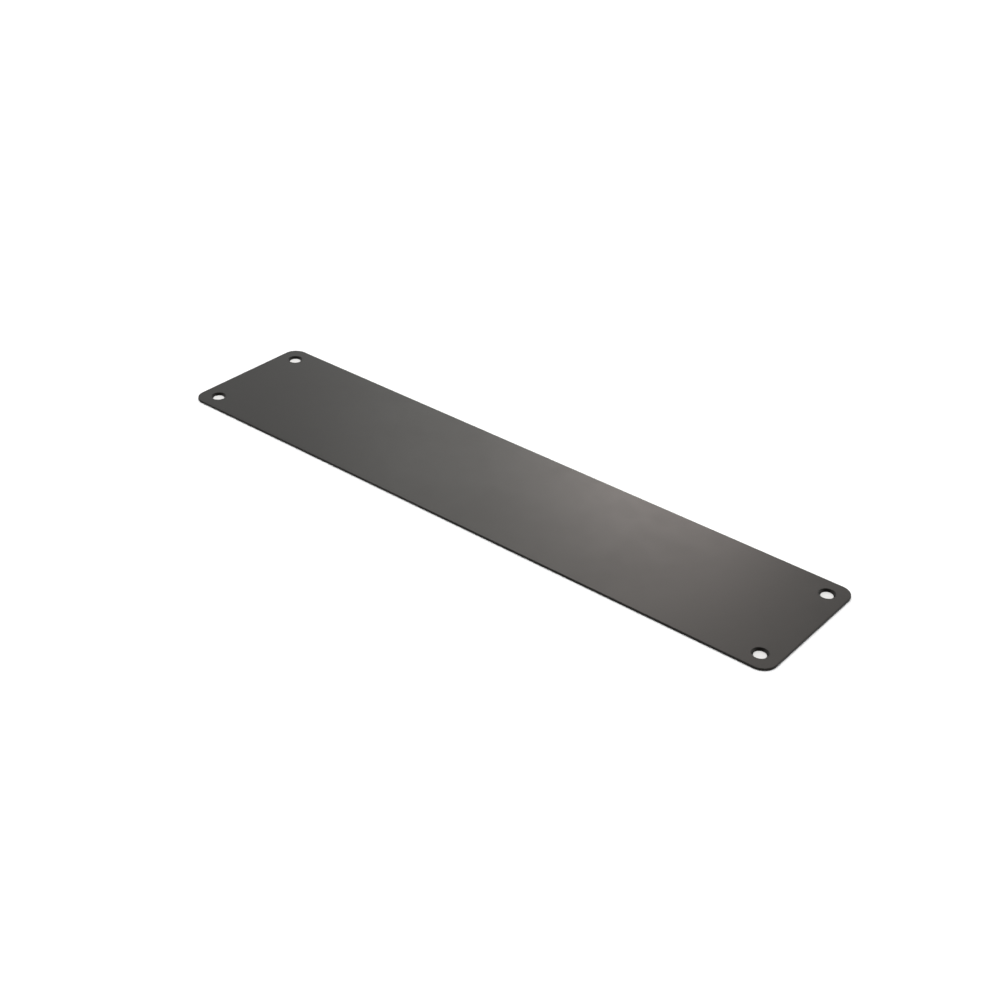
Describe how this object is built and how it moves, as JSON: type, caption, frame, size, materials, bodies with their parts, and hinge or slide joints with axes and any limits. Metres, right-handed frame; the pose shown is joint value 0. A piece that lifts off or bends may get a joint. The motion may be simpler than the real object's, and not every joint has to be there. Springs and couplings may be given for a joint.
{
  "type": "kick plate",
  "caption": "Flat screw-on door protection plate of dark satin coated sheet steel, with rounded corners and countersunk screw holes near the corners.",
  "frame": {"origin": "middle of the back face, the face that lies on the door", "axes": "+X along the plate's length, +Y across its width, +Z out of the door through the front face"},
  "size_m": [0.35, 0.075, 0.0012],
  "materials": {
    "coated_steel": "satin near-black powder coat"
  },
  "bodies": {
    "root": {"plate": "coated_steel"}
  },
  "joints": []
}
